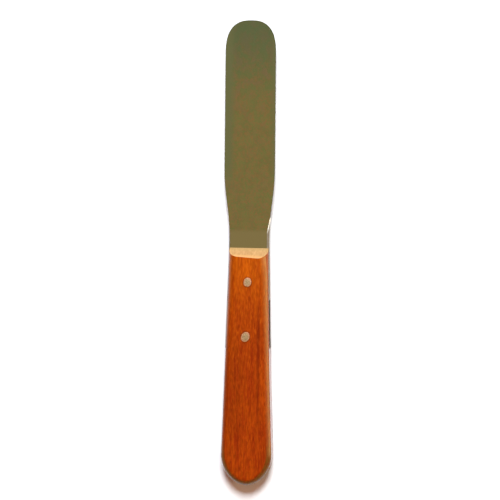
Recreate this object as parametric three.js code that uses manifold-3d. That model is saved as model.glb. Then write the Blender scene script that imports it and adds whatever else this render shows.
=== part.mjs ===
// Palette knife: a taper-ground steel blade whose half tang is let into a saw kerf in a one-piece
// hardwood handle and held there by two peened rivets.
//
// Units are millimetres. +X is the width, +Y runs along the knife towards the blade's tip, and +Z is
// up, through the thickness. The knife lies flat on the underside of its handle. The origin is on that
// resting plane, below the middle of the knife's length.

import * as THREE from "three";
import { mergeVertices } from "three/addons/utils/BufferGeometryUtils.js";
import Module from "manifold-3d";

const wasm = await Module();
wasm.setup();

// ---------------------------------------------------------------------------------------------
// Driving dimensions. The pieces are drawn about the knife's middle plane, z = 0, with y = 0 at the
// front of the handle: the blade lies at positive y, the tang and the handle at negative y.
// ---------------------------------------------------------------------------------------------

const BLADE_REACH = 101.6; // blade standing out of the handle: a 4 inch blade
const BLADE_WIDTH = 22.6;
const SHOULDER_START = 7; // the neck begins to widen here
const SHOULDER_END = 34; // and has reached the blade's full width here
const TIP_LENGTH = 14.7; // length of the rounded tip
const TIP_FULLNESS = 2.55; // superellipse exponent: 2 is an ellipse, more is squarer

const NECK_WIDTH = 18; // the steel's width at the front of the handle
const TANG_LENGTH = 44.6; // the tang stops less than halfway down the handle
const TANG_END_WIDTH = 20.3; // a little wider than the wood, so the steel stands proud of its sides
const TANG_THICKNESS = 2;
const GRIND_START = 5; // the blade is ground thinner from here
const GRIND_END = 34; // and is thin and springy from here to the tip
const GRIND_THICKNESS = 0.9;
const TIP_THICKNESS = 0.5;

const HANDLE_LENGTH = 105.4;
const HANDLE_THICKNESS = 12.7; // cut from half-inch stock
const HANDLE_FRONT_WIDTH = 17.4;
const HANDLE_BUTT_WIDTH = 22.6; // where the rounding of the butt begins
const HANDLE_HOLLOW = 0.35; // how much narrower it is halfway than straight sides would make it
const BUTT_LENGTH = 14.3; // length of the rounded butt
const BUTT_FULLNESS = 1.9; // superellipse exponent
const EDGE_ROUND = 3; // radius of the handle's long edges
const BEVEL_LENGTH = 4.3; // the handle's front slopes down to the blade over this length

// The rivets are drilled by hand, not quite on the middle line.
const RIVETS = [
  { name: "front_rivet", x: 0.1, y: -15.2 },
  { name: "rear_rivet", x: -0.6, y: -39.4 },
];
const RIVET_DIAMETER = 3.2; // an eighth-inch pin
const RIVET_HEAD_DIAMETER = 4.2; // each end is peened out into a countersink in the wood
const RIVET_HEAD_DEPTH = 1.2;

const CLEARANCE = 0.05; // on each side of every fit
const KERF_GAP = 0.3; // between the end of the tang and the end of the kerf

const RIVET_SIDES = 32; // sides of a rivet and of its hole
const APEX_STEPS = 18; // steps from the side of a rounded end to its apex
const CURVE_STEPS = 12; // steps along a shoulder, a grind or a side of the handle
const EDGE_STEPS = 6; // steps round a long edge of the handle
const OVERCUT = 4; // how far a cutting tool runs past the solid that it cuts

const HALF_THICKNESS = HANDLE_THICKNESS / 2; // the handle's flat faces lie this far from z = 0
const TIP_START = BLADE_REACH - TIP_LENGTH;
const BUTT_START = BUTT_LENGTH - HANDLE_LENGTH;

// ---------------------------------------------------------------------------------------------
// Curves
// ---------------------------------------------------------------------------------------------

// The share of the full width that is left at y in a rounded end that runs from start to apex.
function roundedEnd(y, start, apex, fullness) {
  const share = THREE.MathUtils.clamp((y - start) / (apex - start), 0, 1);
  return (1 - share ** fullness) ** (1 / fullness);
}

// Half the width of the steel at y: the tang, the neck, the shoulders and the rounded tip.
function steelHalfWidth(y) {
  if (y < 0) {
    return THREE.MathUtils.lerp(NECK_WIDTH, TANG_END_WIDTH, -y / TANG_LENGTH) / 2;
  }
  const shoulder = THREE.MathUtils.smoothstep(y, SHOULDER_START, SHOULDER_END);
  const side = THREE.MathUtils.lerp(NECK_WIDTH, BLADE_WIDTH, shoulder) / 2;
  return side * roundedEnd(y, TIP_START, BLADE_REACH, TIP_FULLNESS);
}

// Half the thickness of the steel at y: even in the tang and the neck, ground thin along the blade.
function steelHalfThickness(y) {
  const ground = THREE.MathUtils.smoothstep(y, GRIND_START, GRIND_END);
  const taper = THREE.MathUtils.clamp((y - GRIND_START) / (BLADE_REACH - GRIND_START), 0, 1);
  const thin = THREE.MathUtils.lerp(GRIND_THICKNESS, TIP_THICKNESS, taper);
  return THREE.MathUtils.lerp(TANG_THICKNESS, thin, ground) / 2;
}

// Half the width of the handle at y: nearly straight sides that spread towards the rounded butt.
function handleHalfWidth(y) {
  const along = y / BUTT_START;
  const straight = THREE.MathUtils.lerp(HANDLE_FRONT_WIDTH, HANDLE_BUTT_WIDTH, along);
  const side = (straight - 4 * HANDLE_HOLLOW * along * (1 - along)) / 2;
  return side * roundedEnd(y, BUTT_START, -HANDLE_LENGTH, BUTT_FULLNESS);
}

// Places from start towards end, evenly spaced, without the end itself.
function evenly(start, end, steps) {
  return Array.from({ length: steps }, (_, i) => THREE.MathUtils.lerp(start, end, i / steps));
}

// Places from start towards an apex, closing up as they near it, without the apex itself.
function towardsApex(start, apex, fullness) {
  return evenly(0, Math.PI / 2, APEX_STEPS).map((turn) =>
    THREE.MathUtils.lerp(start, apex, Math.sin(turn) ** (2 / fullness)),
  );
}

// ---------------------------------------------------------------------------------------------
// Solids
// ---------------------------------------------------------------------------------------------

// A closed three.js geometry as a manifold-3d solid, without the flat triangles at a lathe's poles.
function solid(geometry) {
  const bare = geometry.clone();
  bare.deleteAttribute("normal");
  bare.deleteAttribute("uv");
  const merged = mergeVertices(bare);
  const corners = [];
  for (let i = 0; i < merged.index.count; i += 3) {
    const [a, b, c] = merged.index.array.slice(i, i + 3);
    if (a !== b && b !== c && c !== a) {
      corners.push(a, b, c);
    }
  }
  return new wasm.Manifold(
    new wasm.Mesh({
      numProp: 3,
      vertProperties: merged.attributes.position.array,
      triVerts: new Uint32Array(corners),
    }),
  );
}

// A manifold-3d solid as a flat-shaded three.js geometry.
function faceted(made) {
  const mesh = made.getMesh();
  const shared = new THREE.BufferGeometry();
  shared.setAttribute("position", new THREE.BufferAttribute(mesh.vertProperties, 3));
  shared.setIndex(new THREE.BufferAttribute(mesh.triVerts, 1));
  const geometry = shared.toNonIndexed();
  geometry.computeVertexNormals();
  return geometry;
}

// A plan outline that is the same on both sides of x = 0. The places run forwards along y, and an
// apex closes the outline with a single point on the middle line.
function plan(places, halfWidth, { backApex, frontApex }) {
  const right = places.map((y) => new THREE.Vector2(halfWidth(y), y));
  const left = right.map((point) => new THREE.Vector2(-point.x, point.y)).reverse();
  const closing = (y) => (y === undefined ? [] : [new THREE.Vector2(0, y)]);
  return new THREE.Shape([...closing(backApex), ...right, ...closing(frontApex), ...left]);
}

// An outline given an even thickness about z = 0.
function plate(outline, thickness) {
  const geometry = new THREE.ExtrudeGeometry(outline, { depth: thickness, bevelEnabled: false });
  return geometry.translate(0, 0, -thickness / 2);
}

// A side profile, drawn with y to the right and z up, carried right across the knife.
function acrossKnife(profile) {
  const upright = new THREE.Matrix4().makeBasis(
    new THREE.Vector3(0, 1, 0),
    new THREE.Vector3(0, 0, 1),
    new THREE.Vector3(1, 0, 0),
  );
  return plate(profile, BLADE_WIDTH + 2 * OVERCUT).applyMatrix4(upright);
}

// A bar that stands upright through the knife, with both ends spread like a countersunk head. It is
// larger all round by spare, and runs past the handle's faces by overrun.
function rivetForm({ x, y }, spare = 0, overrun = 0) {
  const shank = RIVET_DIAMETER / 2 + spare;
  const spread = (RIVET_HEAD_DIAMETER - RIVET_DIAMETER) / 2 / RIVET_HEAD_DEPTH;
  const head = shank + spread * (RIVET_HEAD_DEPTH + overrun);
  const end = HALF_THICKNESS + overrun;
  const underHead = HALF_THICKNESS - RIVET_HEAD_DEPTH;
  const profile = [
    new THREE.Vector2(0, -end),
    new THREE.Vector2(head, -end),
    new THREE.Vector2(shank, -underHead),
    new THREE.Vector2(shank, underHead),
    new THREE.Vector2(head, end),
    new THREE.Vector2(0, end),
  ];
  const form = new THREE.LatheGeometry(profile, RIVET_SIDES);
  return form.rotateX(Math.PI / 2).translate(x, y, 0);
}

// ---------------------------------------------------------------------------------------------
// Pieces
// ---------------------------------------------------------------------------------------------

// The blade and its half tang: one piece of steel, with a hole for each rivet.
function makeBlade() {
  const places = [
    -TANG_LENGTH,
    0,
    ...evenly(SHOULDER_START, SHOULDER_END, CURVE_STEPS),
    SHOULDER_END,
    ...towardsApex(TIP_START, BLADE_REACH, TIP_FULLNESS),
  ];
  const outline = plan(places, steelHalfWidth, { frontApex: BLADE_REACH });
  const stations = [
    -TANG_LENGTH - OVERCUT,
    ...evenly(GRIND_START, GRIND_END, CURVE_STEPS),
    GRIND_END,
    BLADE_REACH + OVERCUT,
  ];
  const upper = stations.map((y) => new THREE.Vector2(y, steelHalfThickness(y)));
  const lower = upper.map((point) => new THREE.Vector2(point.x, -point.y));
  const profile = new THREE.Shape([...lower, ...upper.reverse()]);
  const blank = solid(plate(outline, TANG_THICKNESS + OVERCUT));
  return faceted(drilled(blank.intersect(solid(acrossKnife(profile)))));
}

// The handle: one piece of wood with rounded edges and a rounded butt, bevelled at the front on both
// faces, with a saw kerf for the tang and a countersunk hole for each rivet.
function makeHandle() {
  const butt = towardsApex(BUTT_START, -HANDLE_LENGTH, BUTT_FULLNESS).slice(1).reverse();
  const places = [...butt, ...evenly(BUTT_START, OVERCUT, CURVE_STEPS), OVERCUT];
  const outline = plan(places, handleHalfWidth, { backApex: -HANDLE_LENGTH });
  const rounded = new THREE.ExtrudeGeometry(outline, {
    depth: HANDLE_THICKNESS - 2 * EDGE_ROUND,
    bevelThickness: EDGE_ROUND,
    bevelSize: EDGE_ROUND,
    bevelOffset: -EDGE_ROUND,
    bevelSegments: EDGE_STEPS,
  });
  const blank = solid(rounded.translate(0, 0, EDGE_ROUND - HALF_THICKNESS));
  const bevelled = blank.subtract(bevelTool(1)).subtract(bevelTool(-1));
  return faceted(drilled(bevelled.subtract(kerfTool())));
}

// Everything in front of the bevel on one face of the handle: side is 1 above and -1 below.
function bevelTool(side) {
  const lip = TANG_THICKNESS / 2 + CLEARANCE;
  const slope = (HALF_THICKNESS - lip) / BEVEL_LENGTH;
  const top = HALF_THICKNESS + OVERCUT;
  const profile = new THREE.Shape([
    new THREE.Vector2(lip / slope, 0),
    new THREE.Vector2(2 * OVERCUT, 0),
    new THREE.Vector2(2 * OVERCUT, side * top),
    new THREE.Vector2((lip - top) / slope, side * top),
  ]);
  return solid(acrossKnife(profile));
}

// The saw cut that takes the tang, open at the front and along both sides of the handle.
function kerfTool() {
  const halfHeight = TANG_THICKNESS / 2 + CLEARANCE;
  const back = -TANG_LENGTH - KERF_GAP;
  const profile = new THREE.Shape([
    new THREE.Vector2(back, -halfHeight),
    new THREE.Vector2(2 * OVERCUT, -halfHeight),
    new THREE.Vector2(2 * OVERCUT, halfHeight),
    new THREE.Vector2(back, halfHeight),
  ]);
  return solid(acrossKnife(profile));
}

// A solid with both rivet holes cut through it.
function drilled(piece) {
  const holes = RIVETS.map((rivet) => solid(rivetForm(rivet, CLEARANCE, OVERCUT)));
  return holes.reduce((cut, hole) => cut.subtract(hole), piece);
}

// ---------------------------------------------------------------------------------------------
// Materials
// ---------------------------------------------------------------------------------------------

const steel = new THREE.MeshStandardMaterial({ color: 0x7c7049, roughness: 0.35, metalness: 1 });
const wood = new THREE.MeshStandardMaterial({ color: 0xb04a0c, roughness: 0.5, metalness: 0 });
const pinMetal = new THREE.MeshStandardMaterial({ color: 0xbe986a, roughness: 0.45, metalness: 1 });

// ---------------------------------------------------------------------------------------------
// The knife
// ---------------------------------------------------------------------------------------------

const knife = new THREE.Group();
knife.position.set(0, (HANDLE_LENGTH - BLADE_REACH) / 2, HALF_THICKNESS);

function addPiece(name, geometry, material) {
  const piece = new THREE.Mesh(geometry, material);
  piece.name = name;
  knife.add(piece);
}

addPiece("blade", makeBlade(), steel);
addPiece("handle", makeHandle(), wood);
for (const rivet of RIVETS) {
  addPiece(rivet.name, rivetForm(rivet), pinMetal);
}

export default knife;
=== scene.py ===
"""Looks of the palette knife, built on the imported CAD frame.

Shapes are worked out in millimetres in the knife's own axes and turned into the row frame, in
metres, when a mesh is made: x is the width, y runs towards the blade's tip with y = 0 at the front of
the handle, and z = 0 is the knife's middle plane.
"""

import math

import bmesh
import bpy
import numpy as np
from mathutils import Matrix, Vector, noise


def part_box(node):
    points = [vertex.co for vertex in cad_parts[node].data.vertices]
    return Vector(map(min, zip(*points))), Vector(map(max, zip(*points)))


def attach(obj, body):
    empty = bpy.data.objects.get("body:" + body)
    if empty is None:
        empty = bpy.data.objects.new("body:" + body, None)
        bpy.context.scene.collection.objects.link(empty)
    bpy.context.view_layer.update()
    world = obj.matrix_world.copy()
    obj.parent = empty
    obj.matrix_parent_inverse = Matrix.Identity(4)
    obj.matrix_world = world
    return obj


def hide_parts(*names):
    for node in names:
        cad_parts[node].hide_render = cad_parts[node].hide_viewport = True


METRE = 1000.0  # millimetres in a metre

# ---------------------------------------------------------------------------------------------
# The frame
# ---------------------------------------------------------------------------------------------

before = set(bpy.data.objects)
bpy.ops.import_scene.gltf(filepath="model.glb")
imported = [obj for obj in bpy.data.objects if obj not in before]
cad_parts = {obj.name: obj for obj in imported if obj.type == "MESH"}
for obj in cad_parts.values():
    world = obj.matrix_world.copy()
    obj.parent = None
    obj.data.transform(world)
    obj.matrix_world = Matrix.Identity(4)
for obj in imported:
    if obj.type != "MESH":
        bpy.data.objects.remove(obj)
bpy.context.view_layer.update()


def box_mm(node):
    """A CAD node's lowest and highest corners in millimetres, in the row frame."""
    low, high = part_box(node)
    return np.array(low) * METRE, np.array(high) * METRE


BLADE_LOW, BLADE_HIGH = box_mm("blade")
HANDLE_LOW, HANDLE_HIGH = box_mm("handle")
HANDLE_FRONT = HANDLE_HIGH[1]
MIDDLE = (HANDLE_LOW[2] + HANDLE_HIGH[2]) / 2

# ---------------------------------------------------------------------------------------------
# Dimensions, in millimetres
# ---------------------------------------------------------------------------------------------

BLADE_REACH = BLADE_HIGH[1] - HANDLE_FRONT
BLADE_WIDTH = BLADE_HIGH[0] - BLADE_LOW[0]
TANG_LENGTH = HANDLE_FRONT - BLADE_LOW[1]
TANG_THICKNESS = BLADE_HIGH[2] - BLADE_LOW[2]
NECK_WIDTH = 18.0
TANG_END_WIDTH = 20.3
SHOULDER_START = 7.0
SHOULDER_END = 34.0
TIP_LENGTH = 14.7
TIP_FULLNESS = 2.55
GRIND_START = 5.0
GRIND_END = 34.0
GRIND_THICKNESS = 0.9
TIP_THICKNESS = 0.5
EDGE_EASE = 0.12  # radius of the blade's eased edges
CHAMFER_RIGHT = (1.1, 0.3)  # width and depth of the filed edges of the neck
CHAMFER_LEFT = (0.4, 0.08)
CHAMFER_FADE = (6.5, 13.5)  # the filing narrows and runs out over this stretch of the neck
CHAMFER_TAIL = (-24.0, -21.0)  # and over this stretch of the tang

HANDLE_LENGTH = HANDLE_HIGH[1] - HANDLE_LOW[1]
HALF_THICKNESS = (HANDLE_HIGH[2] - HANDLE_LOW[2]) / 2
HANDLE_FRONT_WIDTH = 17.4
HANDLE_BUTT_WIDTH = HANDLE_HIGH[0] - HANDLE_LOW[0]
HANDLE_HOLLOW = 0.35
BUTT_LENGTH = 14.3
BUTT_FULLNESS = 1.9
EDGE_REACH = 3.4  # the sanded long edges curve over this far
FRONT_EDGE_REACH = 4.5  # and over more of the width at the front
EDGE_DROP = {1: 0.55, -1: 1.0}  # height they lose, as a share of that, right 1 and left -1
EDGE_FULLNESS = {1: 1.6, -1: 2.5}
FRONT_EASE_LENGTH = 60.0  # the handle's front differs from the rest over this length
FRONT_DROP = {1: 0.87, -1: 1.0}  # the same share at the bevel
FRONT_DROP_LENGTH = 14.0  # which settles to the other over this length
CROWN = 0.1  # the broad faces fall away this much towards the edges
STEEL_DRIFT = 0.2  # the neck stands this far to the right of the blade and of the tang's end
HANDLE_DRIFT = 0.2  # the wood's front end stands this far to the right on the tang
SANDING = 0.035  # height of the waves that hand sanding leaves
BEVEL_LENGTH = 4.3
BEVEL_SKEW = {1: math.radians(0.6), -1: math.radians(-0.8)}  # by face: 1 above, -1 below
BEVEL_TWIST = {1: 0.0125, -1: -0.004}  # how much the skew grows in each millimetre above the lip
KERF_CLEARANCE = 0.05
KERF_GAP = 0.3

RIVET_SHANK = 1.6  # radius
RIVET_HEAD_DEPTH = 1.2
RIVET_RIM_DEPTH = 0.3  # the head's sides are upright down to here
RIVET_DOME = 0.02  # the rim stands this much lower than the middle
RIVET_HAMMERING = 0.04  # how uneven the heads are
RIVET_CLEARANCE = 0.07
OVERRUN = 8.0  # how far cutters and blanks run past the finished shape

# ---------------------------------------------------------------------------------------------
# Curves, as in the CAD model
# ---------------------------------------------------------------------------------------------


def smoothstep(value, start, end):
    share = np.clip((value - start) / (end - start), 0, 1)
    return share * share * (3 - 2 * share)


def lerp(a, b, share):
    return a + (b - a) * share


def rounded_end(y, start, apex, fullness):
    share = np.clip((y - start) / (apex - start), 0, 1)
    return (1 - share**fullness) ** (1 / fullness)


def steel_half_width(y):
    tang = lerp(NECK_WIDTH, TANG_END_WIDTH, -y / TANG_LENGTH) / 2
    shoulder = smoothstep(y, SHOULDER_START, SHOULDER_END)
    side = lerp(NECK_WIDTH, BLADE_WIDTH, shoulder) / 2
    tip = rounded_end(y, BLADE_REACH - TIP_LENGTH, BLADE_REACH, TIP_FULLNESS)
    return np.where(y < 0, tang, side * tip)


def steel_half_thickness(y):
    ground = smoothstep(y, GRIND_START, GRIND_END)
    taper = np.clip((y - GRIND_START) / (BLADE_REACH - GRIND_START), 0, 1)
    thin = lerp(GRIND_THICKNESS, TIP_THICKNESS, taper)
    return lerp(TANG_THICKNESS, thin, ground) / 2


def handle_half_width(y):
    along = y / (BUTT_LENGTH - HANDLE_LENGTH)
    straight = lerp(HANDLE_FRONT_WIDTH, HANDLE_BUTT_WIDTH, along)
    side = (straight - 4 * HANDLE_HOLLOW * along * (1 - along)) / 2
    return side * rounded_end(y, BUTT_LENGTH - HANDLE_LENGTH, -HANDLE_LENGTH, BUTT_FULLNESS)


def towards_apex(start, apex, fullness, steps):
    """Places from start to apex that are evenly spaced round a rounded end."""
    turn = np.linspace(0, math.pi / 2, steps + 1)
    return lerp(start, apex, np.sin(turn) ** (2 / fullness))


# ---------------------------------------------------------------------------------------------
# Meshes
# ---------------------------------------------------------------------------------------------


def to_row_frame(points):
    """Points in the knife's own axes, in millimetres, as row frame points in metres."""
    return (np.asarray(points, float) + (0, HANDLE_FRONT, MIDDLE)) / METRE


def grid_faces(rows, columns, start=0, flip=False):
    """Quads between neighbouring rows of a grid of vertices."""
    index = start + np.arange(rows * columns).reshape(rows, columns)
    quads = np.stack(
        [index[:-1, :-1], index[:-1, 1:], index[1:, 1:], index[1:, :-1]], axis=-1
    ).reshape(-1, 4)
    return quads[:, ::-1] if flip else quads


def make_object(name, vertices, faces):
    """A closed mesh object in the row frame, with coinciding vertices joined."""
    mesh = bpy.data.meshes.new(name)
    mesh.from_pydata(to_row_frame(vertices).tolist(), [], [list(map(int, f)) for f in faces])
    form = bmesh.new()
    form.from_mesh(mesh)
    bmesh.ops.remove_doubles(form, verts=form.verts, dist=1e-7)
    bmesh.ops.dissolve_degenerate(form, edges=form.edges, dist=1e-7)
    bmesh.ops.recalc_face_normals(form, faces=form.faces)
    form.to_mesh(mesh)
    form.free()
    piece = bpy.data.objects.new(name, mesh)
    bpy.context.scene.collection.objects.link(piece)
    return piece


def cut(piece, tool):
    """Cuts tool's shape out of piece, and removes tool."""
    modifier = piece.modifiers.new("cut", "BOOLEAN")
    modifier.operation = "DIFFERENCE"
    modifier.solver = "EXACT"
    modifier.object = tool
    graph = bpy.context.evaluated_depsgraph_get()
    made = bpy.data.meshes.new_from_object(piece.evaluated_get(graph), depsgraph=graph)
    piece.modifiers.clear()
    old = piece.data
    piece.data = made
    made.name = piece.name
    bpy.data.meshes.remove(old)
    bpy.data.objects.remove(tool)


def smooth(piece, degrees=30):
    """Smooth shading, with creases where faces meet at more than this angle."""
    piece.data.shade_smooth()
    piece.data.set_sharp_from_angle(angle=math.radians(degrees))


def crease_finishes(piece):
    """A crease wherever two faces with different materials meet."""
    form = bmesh.new()
    form.from_mesh(piece.data)
    for edge in form.edges:
        if len({face.material_index for face in edge.link_faces}) > 1:
            edge.smooth = False
    form.to_mesh(piece.data)
    form.free()


# ---------------------------------------------------------------------------------------------
# Rivets
# ---------------------------------------------------------------------------------------------

# Each rivet's head is hammered out unevenly: radii across and along the knife, the slant of its top
# towards +x, and how much it bulges at a corner.
RIVETS = {
    "front_rivet": {"across": 1.68, "along": 1.98, "slant": 0.03, "bulge": 0.04, "seed": 3},
    "rear_rivet": {"across": 1.85, "along": 2.18, "slant": 0.12, "bulge": 0.06, "seed": 8},
}
RIVET_SIDES = 72
RIVET_RINGS = 12


def rivet_centre(name):
    low, high = box_mm(name)
    return (low[:2] + high[:2]) / 2 - (0, HANDLE_FRONT)


def head_outline(shape, share):
    """The head's outline at a share of its full size: 1 is the rim and 0 the middle."""
    turn = np.linspace(0, 2 * math.pi, RIVET_SIDES, endpoint=False)
    bulge = 1 + shape["bulge"] * np.cos(2 * (turn - math.radians(225))) * (np.cos(turn) < 0.3)
    x = shape["across"] * np.cos(turn) * bulge * share
    y = shape["along"] * np.sin(turn) * share
    return np.stack([x + shape["slant"] * y, y], axis=-1)


def rivet_rings(name, spare):
    """Rings of points down the rivet, from the middle of its top to the middle of its underside."""
    shape = RIVETS[name]
    centre = rivet_centre(name)
    rim = head_outline(shape, 1)
    round_shank = RIVET_SHANK * rim / np.linalg.norm(rim, axis=1)[:, None]
    rings = []
    for share in np.linspace(0.02, 1, RIVET_RINGS):
        rings.append((head_outline(shape, share), HALF_THICKNESS - RIVET_DOME * share**6))
    rings.append((rim, HALF_THICKNESS - RIVET_RIM_DEPTH))
    rings.append((round_shank, HALF_THICKNESS - RIVET_HEAD_DEPTH))
    mirrored = [(ring, -z) for ring, z in reversed(rings)]
    made = []
    for ring, z in rings + mirrored:
        outward = ring / np.linalg.norm(ring, axis=1)[:, None]
        flat = ring + outward * spare + centre
        made.append(np.column_stack([flat, np.full(len(flat), z)]))
    return made


def capped_tube(name, rings):
    """A closed object through rings of points that all have the same number of points."""
    count = len(rings[0])
    vertices = np.concatenate(rings)
    index = np.arange(len(vertices)).reshape(len(rings), count)
    around = np.concatenate([index, index[:, :1]], axis=1)
    quads = np.stack(
        [around[:-1, :-1], around[:-1, 1:], around[1:, 1:], around[1:, :-1]], axis=-1
    ).reshape(-1, 4)
    faces = [list(q) for q in quads] + [list(index[0]), list(index[-1])]
    return make_object(name, vertices, faces)


def make_rivet(name):
    rings = rivet_rings(name, 0)
    seed = RIVETS[name]["seed"]
    for ring in rings:
        for point in ring:
            spot = Vector((point[0] * 1.3, point[1] * 1.3, seed * 5.0))
            if abs(point[2]) > HALF_THICKNESS - 0.2:
                point[2] -= math.copysign(RIVET_HAMMERING * (0.8 - noise.noise(spot)), point[2])
    piece = capped_tube(name + "_pin", rings)
    smooth(piece, 40)
    return piece


def rivet_hole(name):
    rings = rivet_rings(name, RIVET_CLEARANCE)
    inner = [r for r in rings if abs(r[0][2]) < HALF_THICKNESS - 0.25]
    top, bottom = inner[0].copy(), inner[-1].copy()
    top[:, 2] = HALF_THICKNESS + OVERRUN
    bottom[:, 2] = -HALF_THICKNESS - OVERRUN
    return capped_tube("hole", [top, *inner, bottom])


# ---------------------------------------------------------------------------------------------
# Blade and tang
# ---------------------------------------------------------------------------------------------

EDGE_NORMAL = 0.99  # faces steeper than this belong to the edges
EDGE_SPOTS = (0, 0.02, 0.05, 0.09, 0.14, 0.25, 0.42, 0.62, 0.85, 1.1, 1.5)  # mm in from the edge


def blade_rows():
    tip_start = BLADE_REACH - TIP_LENGTH
    return np.concatenate(
        [
            np.linspace(-TANG_LENGTH, -1, 60),
            np.arange(-0.5, SHOULDER_END, 0.4),
            np.arange(SHOULDER_END, tip_start, 1.0),
            towards_apex(tip_start, BLADE_REACH, TIP_FULLNESS, 56),
        ]
    )


def edge_distance(points, outline):
    """Distance from each point to the nearest stretch of the outline."""
    start, end = outline[:-1], outline[1:]
    along = end - start
    length = (along**2).sum(1)
    best = np.full(len(points), np.inf)
    for s, a, n in zip(start, along, length):
        share = np.clip(((points - s) @ a) / n, 0, 1)
        gap = points - (s + share[:, None] * a)
        best = np.minimum(best, (gap**2).sum(1))
    return np.sqrt(best)


def steel_surface(x, y, inset):
    """Height of the steel's upper face above the middle plane, inset being the way in from the edge."""
    half = steel_half_thickness(y)
    ease = EDGE_EASE
    rise = np.sqrt(np.clip(ease**2 - np.clip(ease - inset, 0, ease) ** 2, 0, None)) - ease
    eased = half + rise
    heights = [eased]
    left = 1 - np.clip((y - CHAMFER_FADE[0]) / (CHAMFER_FADE[1] - CHAMFER_FADE[0]), 0, 1)
    tail = smoothstep(y, *CHAMFER_TAIL)
    for side, (width, depth) in ((1, CHAMFER_RIGHT), (-1, CHAMFER_LEFT)):
        reach = np.maximum(width * left, 1e-6)
        filed = half - depth * tail * np.sqrt(left) * (1 - inset / reach)
        filed = np.where((x * side > 0) & (inset < reach), filed, np.inf)
        heights.append(filed)
    return np.minimum.reduce(heights)


def make_blade(polished, edges):
    rows = blade_rows()
    half = steel_half_width(rows)
    spots = np.array(EDGE_SPOTS)
    middle = np.linspace(-1, 1, 31)[1:-1]
    grid = []
    for y, w in zip(rows, half):
        scale = w / (BLADE_WIDTH / 2) if w < NECK_WIDTH / 2 else 1
        inner = w - spots[-1] * scale
        across = np.concatenate([-w + spots * scale, middle * inner, (w - spots * scale)[::-1]])
        grid.append(np.column_stack([across, np.full(len(across), y)]))
    grid = np.array(grid)
    columns = grid.shape[1]
    flat = grid.reshape(-1, 2)
    right = np.column_stack([half, rows])
    outline = np.concatenate([right, right[-2::-1] * (-1, 1), right[:1]])
    inset = edge_distance(flat, outline)
    top = steel_surface(flat[:, 0], flat[:, 1], inset)
    neck = smoothstep(flat[:, 1], SHOULDER_END, SHOULDER_START)
    flat[:, 0] += STEEL_DRIFT * neck * smoothstep(flat[:, 1], -TANG_LENGTH, 0)
    upper = np.column_stack([flat, top])
    lower = np.column_stack([flat, -top])
    count = len(flat)
    index = np.arange(count).reshape(len(rows), columns)
    faces = [list(q) for q in grid_faces(len(rows), columns)]
    faces += [list(q) for q in grid_faces(len(rows), columns, count, flip=True)]
    rim = np.concatenate([index[:, 0], index[-1, 1:], index[::-1, -1][1:], index[0, ::-1][1:]])
    for a, b in zip(rim[:-1], rim[1:]):
        faces.append([a, b, b + count, a + count])
    piece = make_object("blade_steel", np.concatenate([upper, lower]), faces)
    piece.data.materials.append(polished)
    piece.data.materials.append(edges)
    for face in piece.data.polygons:
        if abs(face.normal.z) < EDGE_NORMAL:
            face.material_index = 1
    for name in RIVETS:
        cut(piece, rivet_hole(name))
    smooth(piece, 20)
    crease_finishes(piece)
    return piece


# ---------------------------------------------------------------------------------------------
# Handle
# ---------------------------------------------------------------------------------------------

EDGE_STEPS = 14
WALL_STEPS = 6
FACE_COLUMNS = 10


def handle_outline():
    """Right-hand half of the handle's outline, from in front of the bevel to the butt's apex."""
    butt_start = BUTT_LENGTH - HANDLE_LENGTH
    ys = np.concatenate(
        [
            np.arange(OVERRUN, butt_start, -1.0),
            towards_apex(butt_start, -HANDLE_LENGTH, BUTT_FULLNESS, 48),
        ]
    )
    xs = handle_half_width(ys)
    xs[-1] = 0
    return np.column_stack([xs, ys])


def outward_normals(outline):
    """Outward directions along a right-hand outline whose last point is on the middle line."""
    beyond = outline[-2] * (-1, 1)
    ahead = 2 * outline[0] - outline[1]
    padded = np.vstack([ahead, outline, beyond])
    along = padded[2:] - padded[:-2]
    normals = np.column_stack([-along[:, 1], along[:, 0]])
    return normals / np.linalg.norm(normals, axis=1)[:, None]


def sanded(points):
    """Shallow waves over the handle, as hand sanding leaves them."""
    for point in points:
        spot = Vector((point[0] * 0.16, point[1] * 0.05, point[2] * 0.16))
        shift = SANDING * noise.noise(spot)
        length = math.hypot(point[0], point[2])
        if length > 1:
            point[0] -= abs(shift) * point[0] / length
            point[2] -= abs(shift) * point[2] / length * 0.5
    return points


def half_section(point, normal, reach, drop, fullness):
    """One right-hand half row of the handle: over the top, round the edge, and back underneath."""
    turn = np.linspace(math.pi / 2, 0, EDGE_STEPS + 1)
    inset = reach * (1 - np.cos(turn) ** (2 / fullness))
    height = HALF_THICKNESS - drop + drop * np.sin(turn) ** (2 / fullness)
    arc = point - normal * inset[:, None]
    edge = np.column_stack([arc, height])
    face = [(edge[0, 0] * share, edge[0, 1]) for share in np.linspace(0, 1, FACE_COLUMNS, False)]
    face = np.column_stack([np.array(face), np.full(FACE_COLUMNS, HALF_THICKNESS)])
    wall = np.linspace(edge[-1], edge[-1] * (1, 1, -1), WALL_STEPS + 1)[1:-1]
    under = np.vstack([face, edge])[::-1] * (1, 1, -1)
    row = np.vstack([face, edge, wall, under])
    crown = CROWN * np.clip(np.abs(row[:, 0]) / max(abs(point[0]), 1), 0, 1) ** 2
    row[:, 2] -= np.sign(row[:, 2]) * crown * (np.abs(row[:, 2]) > HALF_THICKNESS - drop)
    return row


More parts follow.
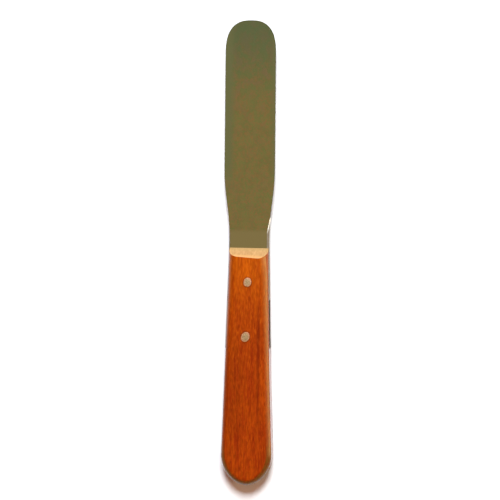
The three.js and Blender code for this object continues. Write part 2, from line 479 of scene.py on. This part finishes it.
def handle_blank():
    outline = handle_outline()
    normals = outward_normals(outline)
    halves = {}
    for side in (1, -1):
        rows = []
        for point, normal in zip(outline, normals):
            eased = smoothstep(point[1], -FRONT_EASE_LENGTH, 0)
            even = smoothstep(point[1], -HANDLE_LENGTH, BUTT_LENGTH - HANDLE_LENGTH)
            reach = lerp(EDGE_REACH, FRONT_EDGE_REACH, eased)
            front = smoothstep(point[1], -FRONT_DROP_LENGTH, -BEVEL_LENGTH / 2)
            drop = reach * lerp(lerp(1, EDGE_DROP[side], even), FRONT_DROP[side], front)
            rows.append(half_section(point, normal, reach, drop, lerp(2, EDGE_FULLNESS[side], even)))
        halves[side] = np.array(rows)
    length, columns = halves[1].shape[:2]
    right = halves[1].reshape(-1, 3)
    left = halves[-1].reshape(-1, 3) * (-1, 1, 1)
    count = len(right)
    faces = [list(q) for q in grid_faces(length, columns)]
    faces += [list(q) for q in grid_faces(length, columns, count, flip=True)]
    front = list(range(columns)) + [count + i for i in range(columns - 2, 0, -1)]
    faces.append(front)
    points = sanded(np.concatenate([right, left]))
    points[:, 0] += HANDLE_DRIFT * smoothstep(points[:, 1], -FRONT_EASE_LENGTH, 0)
    return make_object("handle_wood", points, faces)


def shear(form, side, lip, twist):
    """Slides points along the knife by how far they are from the middle line and above the lip."""
    for vertex in form.verts:
        above = side * (vertex.co.z * METRE - MIDDLE) - lip
        vertex.co.y += vertex.co.x * above * twist


def bevel(piece, side):
    """Cuts the handle's front back to a slope, above (side 1) or below (side -1) the blade."""
    lip = TANG_THICKNESS / 2 + KERF_CLEARANCE
    rise = HALF_THICKNESS - lip
    skew = BEVEL_SKEW[side]
    point = to_row_frame((0, 0, side * lip))
    across = Vector((math.cos(skew), -math.sin(skew), 0))
    down = Vector((0, -BEVEL_LENGTH, side * rise))
    normal = across.cross(down).normalized()
    if normal.y < 0:
        normal = -normal
    form = bmesh.new()
    form.from_mesh(piece.data)
    shear(form, side, lip, BEVEL_TWIST[side])
    everything = form.verts[:] + form.edges[:] + form.faces[:]
    made = bmesh.ops.bisect_plane(
        form, geom=everything, plane_co=Vector(point), plane_no=normal, clear_outer=True, dist=1e-8
    )
    shear(form, side, lip, -BEVEL_TWIST[side])
    rim = [e for e in made["geom_cut"] if isinstance(e, bmesh.types.BMEdge)]
    filled = bmesh.ops.contextual_create(form, geom=rim)
    for face in filled["faces"]:
        face.material_index = 1
    bmesh.ops.recalc_face_normals(form, faces=form.faces)
    form.to_mesh(piece.data)
    form.free()


def kerf_tool():
    """The saw cut's shape, as a box."""
    half = TANG_THICKNESS / 2 + KERF_CLEARANCE
    wide = BLADE_WIDTH
    back = -TANG_LENGTH - KERF_GAP
    corners = [(x, y, z) for x in (-wide, wide) for y in (back, OVERRUN) for z in (-half, half)]
    faces = [(0, 1, 3, 2), (4, 6, 7, 5), (0, 4, 5, 1), (2, 3, 7, 6), (0, 2, 6, 4), (1, 5, 7, 3)]
    tool = make_object("kerf", np.array(corners), faces)
    return tool


def make_handle(finished, bare):
    piece = handle_blank()
    piece.data.materials.append(finished)
    piece.data.materials.append(bare)
    bevel(piece, 1)
    bevel(piece, -1)
    tool = kerf_tool()
    tool.data.materials.append(bare)
    cut(piece, tool)
    for name in RIVETS:
        hole = rivet_hole(name)
        hole.data.materials.append(bare)
        cut(piece, hole)
    smooth(piece, 25)
    return piece


# ---------------------------------------------------------------------------------------------
# Materials
# ---------------------------------------------------------------------------------------------


class Tree:
    """The node tree of a material or the world, with short ways to add what is used here."""

    def __init__(self, owner):
        self.owner = owner
        owner.use_nodes = True
        self.tree = owner.node_tree

    def add(self, kind):
        return self.tree.nodes.new(kind)

    def link(self, output, socket):
        self.tree.links.new(output, socket)

    def feed(self, socket, value):
        """Gives a socket a number or a colour, or links it to an output."""
        if isinstance(value, bpy.types.NodeSocket):
            self.link(value, socket)
        elif isinstance(value, tuple):
            socket.default_value = (*value, 1)
        else:
            socket.default_value = value

    def split(self, vector):
        node = self.add("ShaderNodeSeparateXYZ")
        self.link(vector, node.inputs[0])
        return node.outputs

    def math(self, operation, a, b=0.0, c=0.0):
        node = self.add("ShaderNodeMath")
        node.operation = operation
        for socket, value in zip(node.inputs, (a, b, c)):
            self.feed(socket, value)
        return node.outputs[0]

    def ramp(self, value, low, high, to_low=0.0, to_high=1.0):
        """Value carried smoothly from the range low to high to the range to_low to to_high."""
        node = self.add("ShaderNodeMapRange")
        node.interpolation_type = "SMOOTHSTEP"
        self.feed(node.inputs["Value"], value)
        limits = {"From Min": low, "From Max": high, "To Min": to_low, "To Max": to_high}
        for key, number in limits.items():
            node.inputs[key].default_value = number
        return node.outputs["Result"]

    def mix(self, share, a, b, mode="MIX"):
        node = self.add("ShaderNodeMix")
        node.data_type = "RGBA"
        node.blend_type = mode
        for index, value in ((0, share), (6, a), (7, b)):
            self.feed(node.inputs[index], value)
        return node.outputs[2]

    def grey(self, value):
        node = self.add("ShaderNodeCombineColor")
        for socket in node.inputs[:3]:
            self.link(value, socket)
        return node.outputs[0]


class Finish(Tree):
    """A material that is worked out from the place on the knife, in millimetres in its own axes."""

    def __init__(self, name):
        super().__init__(bpy.data.materials.new(name))
        self.shader = self.tree.nodes["Principled BSDF"]
        shift = self.add("ShaderNodeMapping")
        shift.inputs["Location"].default_value = (0, -HANDLE_FRONT, -MIDDLE)
        shift.inputs["Scale"].default_value = (METRE, METRE, METRE)
        self.link(self.add("ShaderNodeTexCoord").outputs["Object"], shift.inputs["Vector"])
        self.place = shift.outputs["Vector"]
        self.x, self.y, self.z = self.split(self.place)

    def sway(self, shift):
        """Shifts the noise that is made from here on sideways, so that its lines wander."""
        across = self.add("ShaderNodeCombineXYZ")
        self.link(shift, across.inputs["X"])
        moved = self.add("ShaderNodeVectorMath")
        self.link(self.place, moved.inputs[0])
        self.link(across.outputs[0], moved.inputs[1])
        self.place = moved.outputs[0]

    def near(self, centre, reach):
        """1 at a place in plan, falling to 0 at reach millimetres from it."""
        across = self.math("DIVIDE", self.math("SUBTRACT", self.x, centre[0]), reach[0])
        along = self.math("DIVIDE", self.math("SUBTRACT", self.y, centre[1]), reach[1])
        squares = self.math("MULTIPLY_ADD", across, across, self.math("MULTIPLY", along, along))
        return self.ramp(squares, 0.0, 1.0, 1.0, 0.0)

    def noise(self, scale, detail=4.0, roughness=0.55, offset=(0, 0, 0), turn=0.0):
        """Noise whose grains are 1 / scale millimetres long in each direction."""
        mapping = self.add("ShaderNodeMapping")
        mapping.inputs["Location"].default_value = offset
        mapping.inputs["Rotation"].default_value = (0, 0, turn)
        mapping.inputs["Scale"].default_value = scale
        self.link(self.place, mapping.inputs["Vector"])
        node = self.add("ShaderNodeTexNoise")
        node.inputs["Scale"].default_value = 1.0
        node.inputs["Detail"].default_value = detail
        node.inputs["Roughness"].default_value = roughness
        self.link(mapping.outputs["Vector"], node.inputs["Vector"])
        return node.outputs["Fac"]

    def bump(self, height, distance, strength=1.0, under=None):
        """A normal for heights from 0 to 1 that stand for distance, in millimetres."""
        node = self.add("ShaderNodeBump")
        node.inputs["Strength"].default_value = strength
        node.inputs["Distance"].default_value = distance / METRE
        self.link(height, node.inputs["Height"])
        if under is not None:
            self.link(under, node.inputs["Normal"])
        return node.outputs["Normal"]

    def set(self, **values):
        for key, value in values.items():
            self.feed(self.shader.inputs[key.replace("_", " ").title()], value)


# Colours are linear, and places are in millimetres in the knife's own axes.
WOOD = ((0.19, 0.0145, 0.0006), (0.266, 0.033, 0.0007))
WOOD_GRAIN = (0.292, 0.041, 0.0008)
WOOD_FRONT = ((0.252, 0.034, 0.0007), (0.366, 0.07, 0.001))  # the bevel's end is paler
WOOD_SPOT = (0.45, 0.088, 0.001)
WOOD_GLINT = (0.34, 0.075, 0.001)
WOOD_STREAK = (0.085, 0.003, 0.0006)
# painted shade on the handle's rounded edges towards the butt
WOOD_RIM_SHADE = (0.1, 0.042, 0.005)
WOOD_LINES = (0.17, 0.007, 0.0007)
WOOD_PORES = (0.1, 0.006, 0.0006)
# painted shade round the rivet heads
WOOD_RIVET_SHADE = (0.1, 0.014, 0.0015)
SPOT_PLACE = (-0.6, -9.5)
SPOT_REACH = (2.6, 7.5)
# painted shade over the left part of the handle
SHADE_PATCH_PLACE = (-7.0, -62.0)
SHADE_PATCH_REACH = (8.0, 34.0)
STREAK_PLACE = 5.1  # how far to the right of the middle line
RIVET_SHADE_REACH = 0.9  # how far the painted shade round a rivet reaches
FLECK_TURN = math.radians(-20)


def wood_material():
    """Oiled hardwood: figure, grain, flecks, one dark streak, fine lines and pores, and painted shade.
    """
    n = Finish("handle_wood")
    wander = n.noise((0.05, 0.03, 0.05), 2, offset=(0, 5.0, 0))
    sway = n.math("MULTIPLY", n.math("SUBTRACT", wander, 0.5), 3.0)
    n.sway(sway)
    figure = n.noise((0.3, 0.045, 0.3), 3, offset=(1.7, 0.3, 4.0))
    grain = n.noise((1.0, 0.075, 1.0), 5, 0.65, offset=(3.0, 8.0, 1.0))
    fleck = n.noise((1.7, 0.42, 1.7), 3, 0.5, offset=(0, 3.0, 5.0), turn=FLECK_TURN)
    pores = n.noise((3.2, 0.3, 3.2), 2, 0.4, offset=(9.0, 1.0, 3.0))

    colour = n.mix(n.ramp(figure, 0.34, 0.66), *WOOD)
    colour = n.mix(n.ramp(grain, 0.32, 0.68, 0.0, 0.6), colour, WOOD_GRAIN)
    front = n.ramp(n.math("MULTIPLY_ADD", wander, 20.0, n.y), -40.0, 12.0)
    paler = n.mix(n.ramp(grain, 0.3, 0.7), *WOOD_FRONT)
    colour = n.mix(front, colour, paler)

    spot = n.near(SPOT_PLACE, SPOT_REACH)
    colour = n.mix(n.math("MULTIPLY", spot, 0.6), colour, WOOD_SPOT)

    shade = n.ramp(fleck, 0.35, 0.65, 0.82, 1.1)
    # painted shade: the handle's left part is darkened
    shade_patch = n.math("MULTIPLY", n.near(SHADE_PATCH_PLACE, SHADE_PATCH_REACH), 0.16)
    shade = n.math("MULTIPLY", shade, n.math("SUBTRACT", 1.0, shade_patch))
    colour = n.mix(1.0, colour, n.grey(shade), "MULTIPLY")
    glint = n.math("MULTIPLY", n.ramp(fleck, 0.56, 0.7), n.ramp(n.y, -60.0, -35.0, 0.1, 0.55))
    colour = n.mix(glint, colour, WOOD_GLINT)

    wandering = n.math("MULTIPLY_ADD", sway, 0.6, n.x)
    gap = n.math("ABSOLUTE", n.math("SUBTRACT", wandering, STREAK_PLACE))
    streak = n.math("MULTIPLY", n.ramp(gap, 0.2, 0.9, 1.0, 0.0), n.ramp(n.y, -18.0, -34.0))
    streak = n.math("MULTIPLY", streak, n.ramp(n.y, -90.0, -66.0, 0.1, 1.0))
    streak = n.math("MULTIPLY", streak, n.ramp(figure, 0.3, 0.55, 1.0, 0.45))
    colour = n.mix(n.math("MULTIPLY", streak, 0.95), colour, WOOD_STREAK)

    height = n.math("ABSOLUTE", n.z)
    # painted shade: the rounded edges darken, more so towards the butt
    rim = n.math("MULTIPLY", n.ramp(height, 6.3, 5.8), n.ramp(n.y, -82.0, -95.0, 0.15, 0.9))
    rim = n.math("MULTIPLY", rim, n.ramp(height, 2.0, 4.0))
    colour = n.mix(rim, colour, WOOD_RIM_SHADE)

    lines = n.noise((2.2, 0.1, 2.2), 2, 0.5, offset=(4.0, 2.0, 7.0))
    line_share = n.math("MULTIPLY", n.ramp(lines, 0.54, 0.62), n.ramp(n.y, -15.0, -70.0, 0.15, 0.55))
    colour = n.mix(line_share, colour, WOOD_LINES)

    pore_share = n.math("MULTIPLY", n.ramp(pores, 0.6, 0.7), n.ramp(n.y, -20.0, -60.0, 0.3, 0.65))
    colour = n.mix(pore_share, colour, WOOD_PORES)

    # painted shade round each rivet, where the wood meets the head
    for name, shape in RIVETS.items():
        reach = (shape["across"] + RIVET_SHADE_REACH, shape["along"] + RIVET_SHADE_REACH)
        colour = n.mix(n.near(rivet_centre(name), reach), colour, WOOD_RIVET_SHADE)
    roughness = n.ramp(fleck, 0.3, 0.7, 0.15, 0.22)
    relief = n.bump(pores, 0.015, 0.3, under=n.bump(fleck, 0.008, 0.3))
    n.set(base_color=colour, roughness=roughness, normal=relief)
    n.shader.inputs["IOR"].default_value = 1.45
    n.shader.inputs["Specular Tint"].default_value = (1.0, 0.95, 0.5, 1)
    return n.owner


BARE_WOOD = ((0.34, 0.2, 0.075), (0.46, 0.285, 0.12))
BARE_SPECKS = (0.25, 0.12, 0.04)
BARE_BRIM = (0.55, 0.3, 0.11)  # towards the broad faces
BARE_LIP = (0.33, 0.23, 0.085)  # towards the blade


def bare_wood_material():
    """The unfinished end grain of the bevels, paler and speckled."""
    n = Finish("bare_wood")
    grain = n.noise((1.6, 0.3, 0.5), 5, 0.6, offset=(2.0, 0, 6.0))
    speck = n.noise((6.0, 3.0, 6.0), 3, 0.6)
    colour = n.mix(n.ramp(grain, 0.3, 0.7), *BARE_WOOD)
    colour = n.mix(n.ramp(speck, 0.6, 0.72, 0.0, 0.5), colour, BARE_SPECKS)
    height = n.math("ABSOLUTE", n.z)
    colour = n.mix(n.ramp(height, 4.6, 5.8, 0.0, 0.7), colour, BARE_BRIM)
    colour = n.mix(n.ramp(height, 3.4, 2.0, 0.0, 0.5), colour, BARE_LIP)
    n.set(base_color=colour, roughness=0.75, normal=n.bump(speck, 0.05, 0.5))
    n.shader.inputs["Specular IOR Level"].default_value = 0.25
    return n.owner


STEEL = ((0.56, 0.54, 0.475), (0.63, 0.595, 0.51))
STEEL_RED = (0.75, 0.54, 0.47)
STEEL_GREEN = (0.48, 0.63, 0.44)
BLOTCH_GREEN = (0.45, 0.63, 0.5)
BLOTCH_RED = (0.7, 0.52, 0.62)
STEEL_TIP_REFLECTION = (0.29, 0.46, 0.56)
STEEL_SIDES = (0.47, 0.58, 0.62)
STEEL_NECK_REFLECTION = (0.7, 0.65, 0.66)
STEEL_TANG_DARK = (0.1, 0.09, 0.065)
STEEL_SPECKS = (0.85, 0.8, 0.75)


def steel_material():
    """Polished steel brushed lengthwise, with tints, blotches, specks and painted reflection at tip and
    neck.
    """
    n = Finish("blade_steel")
    mottle = n.noise((0.3, 0.22, 0.3), 3, 0.6, offset=(4.0, 0, 2.0))
    tint = n.noise((1.1, 0.9, 1.1), 3, 0.6, offset=(1.0, 6.0, 2.0))
    brushed = n.noise((6.0, 0.25, 6.0), 4, 0.6)
    cross = n.noise((0.5, 7.0, 0.5), 3, 0.6, turn=math.radians(4))
    colour = n.mix(n.ramp(mottle, 0.35, 0.65), *STEEL)
    colour = n.mix(n.ramp(tint, 0.48, 0.62, 0.0, 0.7), colour, STEEL_RED)
    colour = n.mix(n.ramp(tint, 0.48, 0.34, 0.0, 0.7), colour, STEEL_GREEN)
    blotch = n.noise((0.24, 0.2, 0.3), 2, 0.5, offset=(2.0, 5.0, 1.0))
    forward = n.ramp(n.y, 45.0, 85.0, 0.3, 1.0)
    for limits, tinge in (((0.5, 0.62), BLOTCH_GREEN), ((0.48, 0.38), BLOTCH_RED)):
        blotches = n.math("MULTIPLY", forward, n.ramp(blotch, *limits))
        colour = n.mix(n.math("MULTIPLY", blotches, 0.6), colour, tinge)
    # painted reflection: the steel darker and cooler towards the tip
    tip = n.ramp(n.math("MULTIPLY_ADD", mottle, 20.0, n.y), 70.0, 112.0)
    colour = n.mix(n.math("MULTIPLY", tip, 0.7), colour, STEEL_TIP_REFLECTION)
    side = n.ramp(n.math("ABSOLUTE", n.math("SUBTRACT", n.x, 1.2)), 7.0, 11.0, 0.0, 0.9)
    side = n.math("MULTIPLY", side, n.ramp(n.y, 20.0, 40.0))
    colour = n.mix(side, colour, STEEL_SIDES)
    # painted reflection: the steel paler at the neck
    neck = n.ramp(n.y, 9.0, 6.5)
    colour = n.mix(neck, colour, STEEL_NECK_REFLECTION)
    # darker along the tang's right edge beside the wood
    beside = n.ramp(n.x, 8.6, 8.9)
    tang_edge = n.math("MULTIPLY", beside, n.ramp(n.y, -20.0, -24.0))
    colour = n.mix(tang_edge, colour, STEEL_TANG_DARK)
    speck = n.noise((3.2, 2.4, 3.2), 2, 0.5, offset=(7.0, 3.0, 1.0))
    colour = n.mix(n.ramp(speck, 0.64, 0.74, 0.0, 0.35), colour, STEEL_SPECKS)
    roughness = n.ramp(brushed, 0.3, 0.7, 0.06, 0.095)
    relief = n.bump(brushed, 0.004, 0.25, under=n.bump(cross, 0.003, 0.2))
    n.set(base_color=colour, metallic=1.0, roughness=roughness, normal=relief)
    return n.owner


EDGE_STEEL = ((0.24, 0.2, 0.16), (0.33, 0.275, 0.22))
EDGE_BLADE_SHADE = (0.07, 0.065, 0.06)  # painted shade, darker along the blade itself
EDGE_TANG_DARK = (0.08, 0.08, 0.062)  # and along the tang's end
CREST_GLINT = (0.95, 0.93, 0.88)
CREST_START = (8.2, 6.25)  # the painted glint on the filing's crest runs from here to the edge
CREST_SLOPE = 0.18  # and this far outwards in each millimetre along the knife


def edge_material():
    """The steel's ground edges, duller and darker than its faces; painted shade along the blade, a
    painted glint on the filing's crest.
    """
    n = Finish("blade_edge")
    ground = n.noise((4.0, 0.8, 12.0), 3, 0.6)
    dark = n.ramp(n.y, -20.0, -24.0)
    dark = n.mix(n.ramp(n.x, -1.0, 1.0), n.grey(n.ramp(n.y, -41.0, -43.0)), n.grey(dark))
    colour = n.mix(n.ramp(ground, 0.35, 0.65), *EDGE_STEEL)
    colour = n.mix(n.ramp(n.y, 12.0, 15.0), colour, EDGE_BLADE_SHADE)
    colour = n.mix(dark, colour, EDGE_TANG_DARK)
    # painted highlight: a bright sliver along the filing's crest
    along = n.math("SUBTRACT", n.y, CREST_START[1])
    crest = n.math("MULTIPLY_ADD", along, -CREST_SLOPE, n.x)
    off_crest = n.math("ABSOLUTE", n.math("SUBTRACT", crest, CREST_START[0]))
    crest_glint = n.ramp(off_crest, 0.1, 0.35, 1.0, 0.0)
    crest_glint = n.math("MULTIPLY", crest_glint, n.ramp(n.y, 6.0, 9.0))
    crest_glint = n.math("MULTIPLY", crest_glint, n.ramp(n.y, 14.0, 13.0))
    colour = n.mix(crest_glint, colour, CREST_GLINT)
    n.set(base_color=colour, metallic=1.0, roughness=n.ramp(crest_glint, 0.0, 1.0, 0.4, 0.5))
    n.set(normal=n.bump(ground, 0.01, 0.4))
    return n.owner


RIVET_RIM = ((0.92, 0.49, 0.32), (1.0, 0.56, 0.39))
RIVET_CORE = (0.7, 0.5, 0.32)


def rivet_material():
    """Hammered metal, paler at the rim."""
    n = Finish("rivet_metal")
    hammered = n.noise((1.4, 1.4, 0.3), 3, 0.6)
    fine = n.noise((7.0, 7.0, 2.0), 3, 0.6)
    colour = n.mix(n.ramp(hammered, 0.35, 0.65), *RIVET_RIM)
    for name, shape in RIVETS.items():
        core = n.near(rivet_centre(name), (shape["across"], shape["along"]))
        colour = n.mix(n.ramp(core, 0.2, 0.6, 0.0, 0.9), colour, RIVET_CORE)
    relief = n.bump(hammered, 0.02, 0.5, under=n.bump(fine, 0.006, 0.4))
    roughness = n.ramp(fine, 0.3, 0.7, 0.26, 0.32)
    n.set(base_color=colour, metallic=1.0, roughness=roughness, normal=relief)
    return n.owner


FLOOR = ((0.71, 0.77, 0.81), (0.73, 0.79, 0.83))


def floor_material():
    n = Finish("floor")
    mottle = n.noise((0.01, 0.01, 0.01), 3)
    colour = n.mix(mottle, *FLOOR)
    n.set(base_color=colour, roughness=0.9)
    n.shader.inputs["Specular IOR Level"].default_value = 0.0
    return n.owner


# ---------------------------------------------------------------------------------------------
# Studio
# ---------------------------------------------------------------------------------------------

CAMERA_TILT = math.radians(6.0)  # the camera stands this far towards +x from straight above
CAMERA_ROLL = math.radians(0.55)
CAMERA_DISTANCE = 0.8
CAMERA_TARGET = Vector((0.47, 1.0, 6.35)) / METRE
SENSOR_WIDTH = 36.0
LENS = 129.1
KEY_TILT = math.radians(31.5)  # the key light stands this far towards +y from straight above
KEY_LEAN = math.radians(3.8)  # and this far towards +x
KEY_DISTANCE = 3.0
KEY_SIZE = (0.79, 1.0)
KEY_POWER = 144.0
KEY_COLOUR = (0.96, 1.0, 1.02)
FILL_COLOUR = (1.0, 0.08, 0.05)
FILL_DISTANCE = 3.0
FILL_SIZE = (6.0, 6.0)
FILL_POWER = 45.0
ZENITH = (0.3, 0.24, 0.085)
SKY = (0.11, 0.078, 0.053)
LOW_SKY = (0.28, 0.24, 0.19)
HORIZON = (0.8, 0.6, 0.42)
GLOW = (3.8, 2.9, 1.7)
GLOW_HEIGHT = (0.92, 0.45)  # the glow over the window comes in down this range of the direction's z
WINDOW = (5.2, 6.2, 4.3)
WINDOW_HEIGHT = (0.6, 0.0)  # and the window itself down this one
WINDOW_WIDTH = (0.08, 0.26)  # both fade over this range of its y
FLOOR_REACH = 6.0 * METRE


def make_camera():
    data = bpy.data.cameras.new("camera")
    data.lens = LENS
    data.sensor_width = SENSOR_WIDTH
    data.clip_start = 0.01
    camera = bpy.data.objects.new("camera", data)
    bpy.context.scene.collection.objects.link(camera)
    back = Vector((math.sin(CAMERA_TILT), 0, math.cos(CAMERA_TILT)))
    level = Vector((math.cos(CAMERA_TILT), 0, -math.sin(CAMERA_TILT)))
    forward = Vector((0, 1, 0))
    right = level * math.cos(CAMERA_ROLL) + forward * math.sin(CAMERA_ROLL)
    up = forward * math.cos(CAMERA_ROLL) - level * math.sin(CAMERA_ROLL)
    turn = Matrix((right, up, back)).transposed().to_4x4()
    place = Matrix.Translation(CAMERA_TARGET + back * CAMERA_DISTANCE)
    camera.matrix_world = place @ turn
    bpy.context.scene.camera = camera


def area_light(name, direction, distance, size, power):
    data = bpy.data.lights.new(name, "AREA")
    data.shape = "RECTANGLE"
    data.size, data.size_y = size
    data.energy = power
    light = bpy.data.objects.new(name, data)
    bpy.context.scene.collection.objects.link(light)
    light.location = direction * distance
    light.rotation_mode = "QUATERNION"
    light.rotation_quaternion = direction.to_track_quat("Z", "Y")
    return light


def make_lights():
    key = Vector((math.sin(KEY_LEAN), math.sin(KEY_TILT), math.cos(KEY_TILT))).normalized()
    main = area_light("key", key, KEY_DISTANCE, KEY_SIZE, KEY_POWER)
    main.data.color = KEY_COLOUR
    # The fill only warms the shadows: a mirror-like face doesn't show it.
    fill = area_light("fill", Vector((0, 0, 1)), FILL_DISTANCE, FILL_SIZE, FILL_POWER)
    fill.data.color = FILL_COLOUR
    fill.visible_glossy = False


def make_world():
    """Dim and warm, paler round the horizon, with a bright soft window towards +x."""
    n = Tree(bpy.data.worlds.new("studio"))
    direction = n.add("ShaderNodeTexCoord").outputs["Generated"]
    x, y, z = n.split(direction)
    sky = n.mix(n.ramp(z, 0.88, 0.96), SKY, ZENITH)
    sky = n.mix(n.ramp(z, 0.6, 0.3), sky, LOW_SKY)
    sky = n.mix(n.ramp(z, 0.22, 0.08), sky, HORIZON)
    off_middle = n.math("ABSOLUTE", y)
    width = n.math("MULTIPLY", n.ramp(off_middle, *WINDOW_WIDTH, 1.0, 0.0), n.ramp(x, 0.0, 0.2))
    light = n.mix(n.math("MULTIPLY", n.ramp(z, *GLOW_HEIGHT), width), sky, GLOW)
    light = n.mix(n.math("MULTIPLY", n.ramp(z, *WINDOW_HEIGHT), width), light, WINDOW)
    n.link(light, n.tree.nodes["Background"].inputs["Color"])
    bpy.context.scene.world = n.owner


def make_floor():
    ends = (-FLOOR_REACH, FLOOR_REACH)
    corners = np.array([(x, y, -HALF_THICKNESS) for x in ends for y in ends])
    floor = make_object("floor", corners, [(0, 2, 3, 1)])
    floor.data.materials.append(floor_material())


# ---------------------------------------------------------------------------------------------
# The scene
# ---------------------------------------------------------------------------------------------


def place(piece, node, slot):
    """Puts a visual piece in a CAD node's stead."""
    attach(piece, "root")
    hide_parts(node)


make_camera()
make_lights()
make_world()
make_floor()

blade = make_blade(steel_material(), edge_material())
place(blade, "blade", "blade_steel")

handle = make_handle(wood_material(), bare_wood_material())
place(handle, "handle", "handle_wood")

metal = rivet_material()
for rivet_name in RIVETS:
    rivet = make_rivet(rivet_name)
    rivet.data.materials.append(metal)
    place(rivet, rivet_name, "rivet_metal")

bpy.context.scene.view_settings.view_transform = "Standard"
